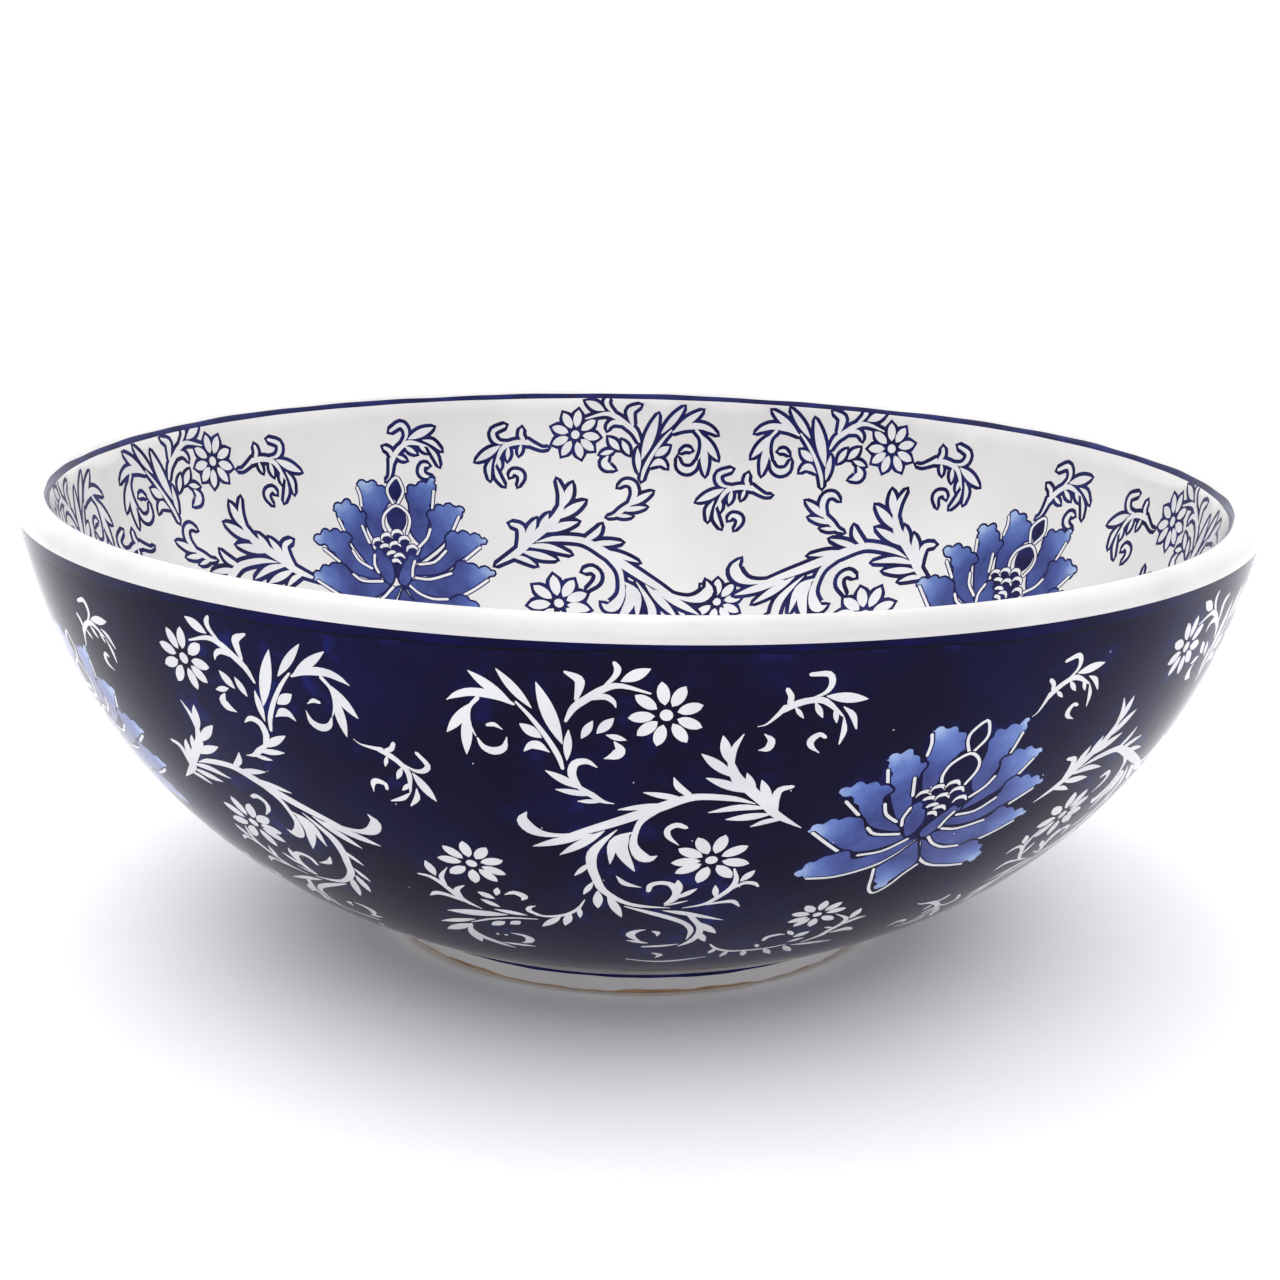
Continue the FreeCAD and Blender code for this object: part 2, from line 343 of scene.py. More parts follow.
def branch():
    """The upper branch, with a daisy at its right end."""
    at = (-5.0, 165.0)
    return at, leaves(
        at,
        ((-9.1, 168), (-12.2, 176.2), 2.7), ((-7.6, 166.7), (-10.1, 177.3), 2.5),
        ((-5.4, 156.3), (-7.2, 174.2), 3.8),
        ((-12.1, 166.9), (-14.25, 157.5), 3), ((-12.5, 164.5), (-12.9, 151), 3),
        ((-6.95, 157.9), (-8.55, 161.8), 3),
        ((-5.1, 151.2), (-4.9, 160.7), 2.2), ((-1.05, 175.4), (1.05, 179), 3.1),
        ((-3.95, 158.3), (-3.1, 163.7), 2.3),
        ((-2.8, 160), (-1.55, 164.7), 2.7), ((-2.1, 159.6), (-0.6, 158.2), 1.8),
    ) + strokes(
        at,
        ((-8.9, 167.4, 0.6), (-10.2, 169.6, 2.3), (-12, 170.2, 2.4), (-13.2, 169, 1.8), (-14, 167.3, 0)),
        ((-11.6, 168.6, 1.2), (-12.3, 165.5, 1), (-12.4, 161, 0.8), (-12, 157, 0.3)),
        ((-11.9, 156.5, 0.4), (-11.5, 153.8, 1.6), (-10.7, 152.7, 2.4), (-9.9, 154, 1.9), (-9.6, 157.4, 0)),
        ((-11.05, 160.7, 0.9), (-10.5, 161, 1.3), (-9.9, 159.7, 0)),
        ((-8.75, 168.2, 0.6), (-7.75, 164.2, 1.1), (-6.6, 158.3, 1.4), (-5.75, 152.5, 1.5),
         (-5.45, 148.4, 0.9)),
        ((-8.35, 153.4, 0.3), (-7.8, 155.3, 2.2), (-7.2, 155.4, 2.6), (-6.4, 153.5, 0)),
        ((-5.1, 163.3, 0.8), (-4.5, 167.3, 1.9), (-3.5, 170.2, 2.1), (-2.25, 173.2, 1.9), (-1, 174.1, 1.4),
         (1.1, 172.1, 0.5)),
        ((-4.3, 169.8, 1), (-4.05, 173.3, 2.2), (-4.1, 175.6, 2.4), (-5.1, 177.5, 0.7)),
        ((-2.2, 174, 0.8), (-1.5, 176.7, 1.4), (-1.3, 178.8, 1.8), (-1.55, 180.5, 1)),
        ((-3.3, 170.4, 1.4), (-2.2, 170.9, 1.7), (-1.6, 169.6, 1.3), (-1.4, 167.9, 0.3)),
        ((-1.5, 157.6, 0.4), (-1.05, 155.2, 2.6), (-1.4, 153.4, 2.8), (-2.25, 152.2, 0)),
    ) + daisy(at, (2.3, 165.9), 9.6, (97, 60, 18, -22, -58, -105, -140, -174, 144))


def cluster():
    """The few leaves under the branch."""
    at = (-4.0, 142.0)
    return at, leaves(
        at, ((-4, 141.8), (-6.8, 147.5), 2.5), ((-3.2, 139.8), (-6.1, 141.3), 2),
        ((-2.4, 137.8), (-4.4, 137.5), 1.5)
    ) + strokes(
        at,
        ((-4.2, 142.3, 1.3), (-4.75, 146.5, 2.2), (-4.5, 150.2, 2.2), (-3.6, 151.1, 1.7),
         (-2.8, 149.3, 0.3)),
        ((-4.2, 142.3, 1.4), (-3.25, 139.9, 1.9), (-2.4, 137.8, 1.2), (-1.5, 137.1, 0.1)),
    )


def spray():
    """The big scroll that grows from a flower's side, with its bouquet and the second daisy."""
    at = (10.5, 137.0)
    return at, leaves(
        at,
        ((4.2, 138.9), (0.8, 141.3), 2), ((2.6, 137.4), (-1.2, 135), 1.9),
        ((-3.3, 125.6), (-8.45, 119.2), 3),
        ((-2.3, 126.9), (-6.2, 116.3), 3), ((-3.6, 113.5), (-5.1, 107.2), 1.8),
        ((-3.5, 104.5), (-4.45, 98), 1.8),
        ((-3.1, 100.2), (-3.2, 90.7), 2.7), ((-2.2, 98.2), (-0.9, 85.7), 2.6),
        ((0, 126.7), (-1.9, 113.3), 2.9, (-1.5, 122.5)), ((-0.3, 125.2), (0.25, 110.2), 3.4, (-0.9, 119.5)),
        ((12.5, 131), (9.7, 128.5), 1.8, (11, 130.3)), ((11.3, 133), (7.55, 131.5), 2.5),
        ((11, 135.2), (6.05, 134.2), 2.2, (8.5, 135.8)), ((9.3, 141), (5.6, 146.3), 2.8),
        ((7.8, 146.4), (5.1, 154.1), 2.9), ((7.2, 151.2), (6.6, 159.7), 2.8),
        ((9.6, 140.2), (8.75, 147.7), 2.3),
        ((11, 136.6), (10, 145.2), 2.7), ((4.4, 98.8), (4.2, 106.2), 2.5), ((4.3, 96.9), (6.05, 101.9), 2),
        ((3.2, 92.8), (5.4, 95.6), 0.9), ((8, 97), (7.7, 103.3), 1.8), ((9.95, 104.9), (11, 109.9), 2.4),
    ) + strokes(
        at,
        ((-8.6, 132.6, 0.2), (-9.05, 129.6, 3), (-8.4, 126, 3.3), (-7.1, 124.3, 1.9), (-5.2, 124.8, 1.1),
         (-3.75, 126.9, 1.6)),
        ((9.8, 137, 0.2), (8, 139, 1.8), (5.5, 139.9, 2.2), (4, 139, 2.6), (2, 135.9, 3.2), (-2, 129.4, 3),
         (-3.75, 126.8, 2.4), (-5.2, 124.9, 1)),
        ((3.1, 146.4, 0.3), (3.5, 143.4, 2), (4.4, 140.5, 1.6)),
        ((-1.3, 127.4, 0.3), (-2.5, 122.5, 1.8), (-3.4, 117.5, 2.9), (-3.5, 111.7, 2.6), (-3.2, 106.7, 2.4),
         (-2.6, 100.5, 2.2), (-0.8, 94.8, 1.6), (1, 92.5, 1.4), (3.8, 91.6, 0.2)),
        ((2, 135.2, 1.8), (0.8, 131.5, 1.9), (0.3, 127.5, 1.6), (0.1, 121.7, 2.2), (0.75, 117, 3.6),
         (1.5, 115.9, 2.8),
         (2.15, 117.2, 0.2)),
        ((10.6, 136.7, 2.6), (11.4, 133.6, 2.6), (12.3, 131.2, 2), (14.1, 127.1, 0.3)),
        ((7.4, 151, 1.8), (8, 146, 3), (9.25, 141.7, 3.2), (10.6, 136.8, 2.6)),
        ((7.4, 151, 1.8), (7.5, 155.5, 1.8), (8.15, 160.1, 0.3)),
        ((11.6, 134, 1.2), (11.35, 138.3, 2.3), (11.6, 141.6, 2), (12.6, 142.5, 1.1)),
        ((3.9, 121.7, 0.2), (3, 125, 1.5), (2.9, 127.9, 1.7), (3.6, 129.6, 1.9), (4.4, 128.6, 1.2)),
        ((-1.35, 107.8, 0.2), (-0.6, 104.3, 1.8), (0.9, 102.5, 0.2)),
        ((1.6, 100.6, 1.2), (1.75, 103.6, 1.8), (2.6, 104.9, 1.7), (3.6, 104, 1.8), (4.2, 100.1, 2.2),
         (4, 96.6, 2.3),
         (3.3, 93.8, 1.2)),
        ((5, 91.5, 0.3), (6.9, 93.3, 1.1), (7.9, 96, 1.5), (9.2, 101.5, 1.7), (9.5, 106, 1.5),
         (9.1, 111, 0.6)),
        ((9.2, 101, 0.8), (10.3, 104, 1.4), (11.3, 103.6, 1.5), (11.8, 101.9, 0.6)),
        ((7.2, 93.3, 0.8), (8.6, 94.3, 1.2), (9.8, 94.5, 1.8), (10.6, 91.5, 0.4)),
    ) + daisy(at, (6.9, 115.2), 10.6, (77, 32, -11, -52, -102, -147, -174, 152, 117))


def lower_scroll():
    """The scroll between the spray and the foot."""
    at = (4.0, 80.0)
    return at, leaves(
        at,
        ((3.1, 90.1), (9.4, 83.5), 2.1, (5.6, 88)), ((6.9, 82.4), (9.2, 74.2), 3),
        ((7.3, 75.5), (8.35, 67.8), 2.3),
        ((2, 66.9), (-0.4, 69.1), 1.7),
    ) + strokes(
        at,
        ((-0.6, 92.2, 0.5), (1.9, 88.7, 1.8), (4.2, 85, 2.1), (5.7, 81.3, 1.8), (6.4, 76.5, 1.6),
         (6.2, 70, 0.3)),
        ((5.9, 87, 1.6), (7.2, 79.6, 2), (7.3, 73.3, 2), (6.6, 67.8, 1.8), (5.5, 64.2, 0.5)),
        ((1.4, 63.7, 1), (3.35, 64.4, 1.6), (5.4, 66, 0.4)),
        ((1.3, 67.8, 0.2), (0.5, 70.5, 1.5), (0, 73.7, 2.6), (0.6, 76.3, 1.8), (1.6, 77.6, 0.2)),
        ((2.3, 76.5, 0.5), (2.9, 75.3, 1.7), (2.9, 72.8, 0.1)),
        ((2.6, 57.5, 0.5), (3.6, 55.5, 2), (3.2, 52, 0.3)),
        ((-0.5, 50, 0.6), (3, 47, 1.6), (6, 48, 1.8), (9.5, 52, 0.4)),
    )


def left_scroll():
    """The scroll low between two sprays, with the third daisy."""
    at = (-14.5, 85.0)
    return at, leaves(
        at,
        ((-12.7, 82.4), (-19.6, 80.1), 3.7), ((-13.9, 85.1), (-10.6, 83.3), 2.2),
        ((-16.8, 76.5), (-21.5, 70.8), 2.4),
        ((-17.7, 72.4), (-21.8, 63.9), 3.4), ((-18.3, 69.6), (-18.4, 56.3), 3.6),
        ((-15.5, 58.7), (-11.3, 58.3), 2),
        ((-14.9, 94.6), (-13.4, 91.6), 2.7), ((-13.1, 93.7), (-12.7, 98), 1.9),
        ((-14.9, 90.5), (-13.2, 86.9), 2.2),
        ((-15.2, 73.5), (-13.4, 77.4), 2.8), ((-12.9, 75.8), (-11.6, 78.7), 2.5),
        ((-5, 90.8), (-5.1, 84.2), 1.5),
        ((-6, 86.8), (-6.85, 78.5), 2.4), ((-7.1, 84.2), (-9.35, 76.5), 2.4),
        ((-18.7, 100.5), (-19.1, 107.4), 2.9),
    ) + strokes(
        at,
        ((-9.6, 81.3, 0.4), (-12.2, 80.6, 0.9), (-14.6, 78.4, 0.9), (-16.1, 76.2, 0.9), (-17.5, 73.8, 0.4)),
        ((-17.7, 72.4, 0.8), (-18.3, 67, 1.7), (-17.4, 61.5, 2.4), (-15.9, 57.4, 2.4), (-14.3, 54.2, 0.4)),
        ((-13.4, 68.7, 0.4), (-12.1, 67.8, 1.7), (-11.5, 65.1, 2.6), (-12, 61.9, 1.9), (-12.9, 60.7, 0.2)),
        ((-12.2, 94.6, 0.3), (-11.2, 96.2, 1.9), (-10.3, 94.6, 2.5), (-10.6, 92.4, 0.4)),
        ((-4.4, 95.1, 0.3), (-5.2, 89.6, 1), (-6.6, 85.5, 1.2), (-8.4, 83.7, 1.2), (-9.6, 84.2, 1)),
        ((-9.2, 84, 1.2), (-10.2, 86.3, 1.7), (-10, 88.6, 1.2), (-9.4, 89.6, 0.3)),
        ((-15.3, 84.4, 0.3), (-16.9, 88.7, 1.9), (-18.3, 96, 1.6), (-19.3, 99.4, 1.5), (-20.5, 100.1, 0.8)),
        ((-16.6, 87.4, 0.9), (-18.4, 90.3, 1.8), (-19.6, 90.6, 2), (-20.5, 88.5, 0.4)),
        ((-18.1, 96, 1.2), (-18.1, 100.5, 1.5), (-17.1, 105.5, 0.1)),
        ((-17.1, 89.6, 2), (-17.1, 94.2, 1.8), (-16.1, 97.1, 0.4)),
    ) + [dot(at, (-15.2, 66.5), 0.6), dot(at, (-14.2, 66.5), 0.6)] + daisy(
        at, (-14.5, 108.9), 9.6, (95, 55, 17, -22, -53, -95, -140, 175, 137), eye=1.6
    )


def right_scroll():
    """The scroll under a flower, with the fourth daisy."""
    at = (19.7, 75.0)
    return at, leaves(
        at,
        ((24.5, 75.8), (24.8, 82.5), 2.7), ((23.3, 70), (22.1, 71.3), 1.3),
        ((17.6, 72.1), (18.7, 67.9), 1.7),
        ((19, 65.8), (20.5, 69.6), 3), ((18.9, 61.7), (20.6, 64.2), 2), ((10.1, 60.8), (9.6, 55.8), 1.8),
        ((11.8, 57.5), (11.5, 50.8), 1.8), ((13.9, 56.7), (14.6, 50), 2), ((16.5, 57), (18.3, 49.2), 2),
        ((18.9, 58), (21.2, 49.2), 2.2), ((19.8, 57.9), (25.6, 56.7), 2.2),
        ((14.9, 62.5), (15.4, 59.2), 1.5),
    ) + strokes(
        at,
        ((20.9, 59.6, 0.6), (22.7, 64.2, 1.8), (23.1, 67.5, 2), (24, 72.5, 1.7), (23.9, 76.7, 1.5),
         (22, 81, 0.1)),
        ((24.1, 71.7, 0.8), (25.4, 75, 1.8), (26.5, 75.8, 0.3)),
        ((23.7, 65.8, 0.8), (25.4, 67.1, 2.8), (26.5, 65.7, 1.4)),
        ((15.4, 65.4, 1), (15.6, 68.3, 1.8), (16.8, 69.6, 1.3), (17.6, 69.2, 0.1)),
        ((9.2, 65, 0.5), (10.1, 60.8, 1.2), (11.8, 57.5, 1.4), (13.9, 56.7, 1.4), (16.5, 57, 1.2),
         (18.9, 59.2, 0.8)),
    ) + daisy(at, (19.7, 82.2), 8.5, (90, 50, 14, -38, -85, -125, -155, 166, 130), eye=1.4)


def sprig():
    """The sprig above each flower and between the motifs, anchored where its stem starts."""
    at = (9.14, 162.3)
    return at, leaves(
        at,
        ((14.1, 170.6), (17.4, 169.1), 3), ((11.8, 167.8), (12.54, 164.4), 1.3),
        ((13.3, 168.9), (14.03, 164.3), 1.7),
        ((14.9, 167), (15.2, 162.5), 1.5),
    ) + strokes(
        at,
        ((9.14, 162.3, 0.1), (9.8, 163, 0.5), (10.6, 165.8, 1.2), (11.1, 168, 1.6)),
        ((11.07, 173, 1.2), (11.4, 171, 1.6), (11.36, 169, 1.5)),
        ((10.9, 167, 1.8), (11.7, 168.5, 2), (12.9, 169.6, 1.8), (14.1, 169.1, 1.8), (15.6, 164.5, 0.6)),
        ((13.1, 170.4, 0.3), (14, 171.7, 1.1), (14.4, 174.2, 1.7), (14.1, 176.9, 1.7), (12.7, 177, 1.1)),
        ((15.57, 167.2, 0.3), (16.4, 164.5, 1.8), (16.86, 160.3, 0.5)),
        ((15.7, 164.2, 0.3), (15.9, 160, 1.6), (15.7, 155.8, 0.4)),
        ((14.5, 158.2, 1), (14, 159.2, 1.4), (13.4, 157.5, 2), (13.5, 155.5, 1.5), (14.2, 153.4, 0)),
    )


def loose_sprig():
    """The sprig that stands alone, with a second comma under its stem."""
    at, marks = sprig()
    return at, marks + strokes(at, ((9.7, 160, 0.1), (10.3, 158, 1.9), (10.1, 155.5, 2), (9.4, 155, 0)))


def pinhole():
    """A speck where the blue glaze missed the clay."""
    at = (0.0, 100.0)
    return at, [dot(at, at, PINHOLE_RADIUS)]


FLOWER_HEART = (26.1, 118.6)


def outward(shape):
    """The unit direction out of a closed outline at each of its points."""
    area = np.sum(shape[:, 0] * np.roll(shape[:, 1], -1) - shape[:, 1] * np.roll(shape[:, 0], -1))
    lapped = sideways(np.concatenate([shape[-1:], shape, shape[:1]]))[1:-1]
    return -lapped * np.sign(area)


def petal(*outline):
    """A petal of the big flower: a dark edge round a blue shape, which has small lobes at its far end."""
    shape = smooth(to_mm(outline, FLOWER_HEART), closed=True, steps=7)
    reach = np.hypot(shape[:, 0], shape[:, 1])
    run = np.cumsum(np.hypot(*(shape - np.roll(shape, 1, axis=0)).T))
    far = np.clip((reach / reach.max() - LOBES_FROM) / LOBES_FADE, 0, 1)
    lobes = far * (1.5 * np.abs(np.sin(np.pi * run / LOBE)) - 1.0)
    shape = shape + outward(shape) * lobes[:, None]
    grown = shape + outward(shape) * PETAL_EDGE
    return [mark("dark", grown), mark("petal", shape)]


def edged(line):
    """A white stroke of a flower with a dark edge under it."""
    path = smooth(to_mm(line, FLOWER_HEART), steps=3)
    grown = brushed(path[:, :2], path[:, 2], LINE_EDGE)
    return [mark("dark", grown), mark("highlight", brushed(path[:, :2], path[:, 2]))]


def highlights(*lines, width=0.95):
    """White lines along a petal's edges."""
    return [piece for line in lines for piece in edged([(b, s, width) for b, s in line])]


def back_petals():
    """The upright petals behind the stamens."""
    return (
        petal(
            (23.6, 157.8), (25.6, 157.4), (26.9, 153.6), (27, 149.8), (26, 146.3), (25.4, 139), (24.5, 136),
            (23.75, 144), (23.75, 154),
        )
        + highlights(((23.5, 156.3), (23.7, 153.2), (23.6, 149.4)))
        + petal(
            (32.9, 156.3), (31.25, 155.5), (29.5, 153.6), (29.4, 146), (29, 138.6), (30, 133.2),
            (31, 138.6), (31.9, 147.1),
        )
        + highlights(((32.6, 152.5), (32.1, 145.9)))
        + petal(
            (20.1, 149.8), (22, 151.8), (23, 148.2), (23.75, 146.3), (23.3, 138.6), (24, 127), (23, 126.3),
            (21.3, 137), (20.75, 144.8),
        )
        + highlights(((20.4, 145.9), (20.75, 140.9)), ((23.1, 142.1), (23.5, 135.5)))
        + petal(
            (29, 127), (30, 131), (31.6, 139), (31.5, 144), (33.5, 146.9), (35.75, 144.4), (34.75, 140.9),
            (32.6, 133), (29.5, 127.1),
        )
        + highlights(((35.1, 142.1), (34.1, 137.1)), ((31.4, 138.2), (30.75, 134.8), (29.5, 131.7)))
    )


def side_petals():
    """The petals spread to the left and right."""
    return (
        petal(
            (16.5, 139), (18, 142.1), (20, 141.3), (21.4, 138.6), (20.75, 135.5), (22, 127.8),
            (23.6, 122.1), (20.5, 125.5), (18, 136.7),
        )
        + highlights(((17.45, 135.9), (19, 130.2)), ((21.1, 133.6), (21.6, 129.4), (22.9, 125.9)))
        + petal(
            (14.9, 126.3), (17, 129.4), (19.25, 129), (20, 124.8), (21, 120.9), (24.5, 119.4),
            (22.5, 115.5), (19.5, 115.5), (16.5, 122.1),
        )
        + highlights(
            ((15.25, 124.8), (16.75, 120.2), (18.25, 115.9)),
            ((20.25, 124.8), (21.25, 121.8), (23.75, 120.5)),
        )
        + petal(
            (28, 124), (30, 125), (32.75, 130.2), (33.25, 135.5), (35.25, 135.9), (37.75, 132.3),
            (34.5, 126.3), (31.5, 121.3), (28.5, 121.5),
        )
        + highlights(((37, 129.8), (34.9, 125.5)), ((29, 125.2), (31, 125.5), (32.75, 129.4)))
        + petal(
            (27, 118.6), (30, 119.5), (33, 121.3), (34, 124.8), (36, 122.5), (38.1, 120), (36, 115.5),
            (33.75, 111.7), (32, 110.2), (28, 114.8),
        )
        + highlights(
            ((37.1, 116.7), (35.25, 113.6), (33.6, 111.5)), ((28.1, 120.2), (30, 119), (32.75, 120.5)),
        )
    )


def front_petals():
    """The petals that hang in front."""
    return (
        petal(
            (15.1, 105.9), (16, 111.7), (19.1, 115.7), (20, 111.7), (22, 112.8), (24.5, 116.3), (26, 117.1),
            (25, 111.7), (23.25, 107.8), (20.75, 105.2), (18, 103.6),
        )
        + highlights(
            ((16.25, 104.2), (19, 103.8), (22, 106.3), (24, 109.8), (25.9, 116.3)),
            ((20.4, 113.2), (22.75, 113.8), (24.9, 117.8)),
        )
        + petal(
            (26.25, 116.3), (27.25, 108.6), (28.5, 104), (30.5, 101.7), (35.5, 100.2), (34.9, 107.1),
            (33.2, 111.4), (31.5, 110.2), (29.5, 110.9), (28, 114),
        )
        + highlights(
            ((26.4, 115.5), (27.25, 108.6), (29, 103.6), (31.5, 100.9), (34, 99.4)),
            ((27, 117.8), (28, 114), (29.5, 111.3), (31.4, 110.5)),
        )
        + petal(
            (26, 115.9), (24.75, 110.9), (23.5, 107.1), (23.1, 104), (23.75, 100.2), (24.9, 93.6),
            (26.25, 100.9), (27.4, 106), (26.4, 114),
        )
        + highlights(
            (
                (22.9, 105.5), (23.25, 100.9), (23.75, 94.8), (24.75, 91.7), (25.9, 94.8), (26.75, 100.2),
                (27.75, 104.4),
            ),
        )
    )


def flower_heart():
    """The pistil's two loops, the stamens' beads and the cup in front of them."""
    at = FLOWER_HEART
    beads = ((24.6, 134.9), (25.8, 136.3), (27.2, 137.1), (25.3, 132.3), (26.6, 132.8), (27.9, 134.4),
             (25.95, 129.4), (26.75, 128.2), (28.6, 130.8), (26.1, 126.2))
    marks = [
        leaf(at, (27.9, 149.5), (28.3, 159), 5.5, kind="dark"),
        leaf(at, (27.2, 137), (27.9, 149.5), 8, kind="dark"),
    ]
    marks += highlights(
        (
            (27.6, 148.6), (27.1, 152.5), (27.25, 155.5), (28.4, 158.6), (28.9, 155.5), (28.9, 152.5),
            (28, 148.6),
        ),
        (
            (25.95, 138.6), (25.75, 141.7), (26.25, 145.5), (27.75, 148.2), (28.9, 145.5), (29.1, 141.7),
            (28.4, 137.1),
        ),
    )
    marks.append(leaf(at, (26, 120), (26.6, 138.5), 15, kind="dark"))
    arc = ((-0.72, -0.2, 0.3), (-0.4, 1.3, 1.1), (0.3, 1.5, 1.3), (0.7, 0, 0.4))
    for b, s in beads:
        marks.append(dot(at, (b, s), 2, kind="dark"))
        marks += edged([(b + right, s + up, width) for right, up, width in arc])
    marks += petal(
        (24.1, 132.5), (25.25, 129.4), (25.6, 124.8), (25.25, 120.9), (24.5, 119.4), (23.75, 125.5),
    )
    marks += petal(
        (28.9, 128.2), (27.75, 127.8), (26, 120.9), (26.4, 117.8), (27.25, 119.4), (28.75, 126.3),
    )
    return marks + highlights(
        ((23.75, 130.9), (23.4, 127.1), (23.6, 124)), ((28.6, 126.7), (28.1, 124), (27.75, 120.9)),
    )


def flower():
    """The big flower: petals from the back to the front."""
    return FLOWER_HEART, back_petals() + side_petals() + front_petals() + flower_heart()


# ---- Painting a wall

class Painting:
    """The marks painted on one wall, in order, as outlines of (bearing, run) with their paint."""

    def __init__(self, surface, length, paints, outlined):
        self.surface = surface
        self.length = length
        self.paints = paints
        self.outlined = outlined
        self.marks = []
        self.hearts = []
        self.tips = []

    def add(self, paint, outline):
        """Adds an outline, and its copies a turn round if it crosses the seam."""
        outline = np.column_stack([outline[:, 0], np.clip(outline[:, 1], 0, self.length)])
        for lap in (-360, 0, 360):
            moved = outline + (lap, 0)
            if moved[:, 0].max() > -180 and moved[:, 0].min() < 180:
                self.marks.append((paint, moved))

    def place(self, motif, bearing, run, mirror=False, turn=0.0, scale=1.0):
        """Paints a motif with its anchor at a place."""
        turn = math.radians(turn)
        spin = scale * np.array([[math.cos(turn), math.sin(turn)], [-math.sin(turn), math.cos(turn)]])
        if mirror:
            spin = np.diag([-1.0, 1.0]) @ spin

        def laid(outline):
            flat = outline @ spin
            runs = run + flat[:, 1]
            radius = self.surface(runs)[0][:, 0]
            return np.column_stack([bearing + np.degrees(flat[:, 0] / radius), runs])

        marks = motif[1]
        if self.outlined:
            for kind, _, grown in marks:
                if kind == "leaf":
                    self.add(self.paints["dark"], laid(grown))
        for kind, outline, _ in marks:
            self.add(self.paints[kind], laid(outline))

    def place_as_read(self, motif, shift=0.0, mirror_about=None, lift=0.0):
        """Paints a motif at its own place on the outer wall, moved round it or mirrored there."""
        bearing, run = motif[0]
        if mirror_about is None:
            self.place(motif, bearing + shift, run + lift)
        else:
            self.place(motif, 2 * mirror_about - bearing + shift, run + lift, mirror=True)

    def place_flower(self, bearing, run, scale=1.0):
        """Paints the flower, and keeps the places of its petals' tips."""
        self.place(FLOWER, bearing, run, scale=scale)
        self.hearts.append((bearing, run))
        for kind, outline, _ in FLOWER[1]:
            tip = scale * outline[np.argmax(np.hypot(outline[:, 0], outline[:, 1]))]
            if kind == "petal" and math.hypot(*tip) > LONG_PETAL:
                radius = self.surface(run + tip[1])[0][0]
                self.tips.append((bearing + math.degrees(tip[0] / radius), run + tip[1]))

    def triangles(self):
        """The wall cut along every outline: places, triangles, their paints, and the places on marks."""
        gauge = math.radians(1) * 0.75 * RIM_RADIUS
        grid_b = np.linspace(-180, 180, 121)
        grid_s = np.linspace(0, self.length, int(self.length / 6) + 1)
        points = [np.column_stack([np.tile(grid_b, len(grid_s)), np.repeat(grid_s, len(grid_b))])]
        for bearing, run in self.hearts:
            fine_b = (bearing + np.arange(-13.5, 14, 1) + 180) % 360 - 180
            fine_s = run + np.arange(-29, 44, 2.3)
            points.append(np.column_stack([np.tile(fine_b, len(fine_s)), np.repeat(fine_s, len(fine_b))]))
        corners = np.array([(-180, 0), (180, 0), (180, self.length), (-180, self.length)], float)
        edges = []
        count = sum(len(part) for part in points)
        unmarked = count + len(corners)
        for outline in [corners] + [outline for _, outline in self.marks]:
            number = count + np.arange(len(outline))
            edges.append(np.column_stack([number, np.roll(number, -1)]))
            points.append(outline)
            count += len(outline)
        flat = np.concatenate(points) * (gauge, 1)
        cut = delaunay_2d_cdt([Vector(p) for p in flat], np.concatenate(edges).tolist(), [], 0, 0.01)
        places = np.array([tuple(p) for p in cut[0]]) / (gauge, 1)
        faces = np.array(cut[2])
        on_mark = np.array([not origin or max(origin) >= unmarked for origin in cut[3]], float)
        middle = places[faces].mean(axis=1)
        on_wall = (np.abs(middle[:, 0]) < 180) & (middle[:, 1] > 0) & (middle[:, 1] < self.length)
        faces, middle = faces[on_wall], middle[on_wall]
        paint = np.zeros(len(faces), int)
        for number, outline in self.marks:
            boxed = (middle > outline.min(axis=0)) & (middle < outline.max(axis=0))
            near = np.flatnonzero(np.all(boxed, axis=1))
            paint[near[wound(middle[near], outline)]] = number
        return places, faces, paint, on_mark

    def tip_tone(self, places):
        """How near each place is to a petal's tip: 1 at the tip, and 0 from TIP_FADE away."""
        tone = np.zeros(len(places))
        radius = self.surface(places[:, 1])[0][:, 0]
        for bearing, run in self.tips:
            around = (places[:, 0] - bearing + 180) % 360 - 180
            away = np.hypot(np.radians(around) * radius, places[:, 1] - run)
            tone = np.maximum(tone, 1 - away / TIP_FADE)
        return tone

    def pieces(self, names, front):
        """One skin for each paint."""
        places, faces, paint, on_mark = self.triangles()
        values = {"near_mark": on_mark, "tone": self.tip_tone(places)}
        return [
            thin_shell(name, places, faces[paint == number], self.surface, front, INLAY, values)
            for number, name in enumerate(names)
        ]


def wound(points, outline):
    """Which points an outline winds round."""
    x, y = points[:, 0:1], points[:, 1:2]
    x0, y0 = outline[:, 0], outline[:, 1]
    x1, y1 = np.roll(x0, -1), np.roll(y0, -1)
    side = (x1 - x0) * (y - y0) - (x - x0) * (y1 - y0)
    up = (y0 <= y) & (y1 > y) & (side > 0)
    down = (y0 > y) & (y1 <= y) & (side < 0)
    return up.sum(axis=1) != down.sum(axis=1)


BRANCH, CLUSTER, SPRAY = branch(), cluster(), spray()
LOWER_SCROLL, LEFT_SCROLL, RIGHT_SCROLL = lower_scroll(), left_scroll(), right_scroll()
SPRIG, LOOSE_SPRIG, PINHOLE, FLOWER = sprig(), loose_sprig(), pinhole(), flower()


def edge_band(painting, kind, low):
    """A painted band from a low edge, a function of the bearing, up to the wall's end."""
    bearings = np.linspace(-180, 180, 361)
    up = np.column_stack([bearings, low(bearings)])
    corners = [(180, painting.length), (-180, painting.length)]
    painting.add(painting.paints[kind], np.concatenate([up, corners]))


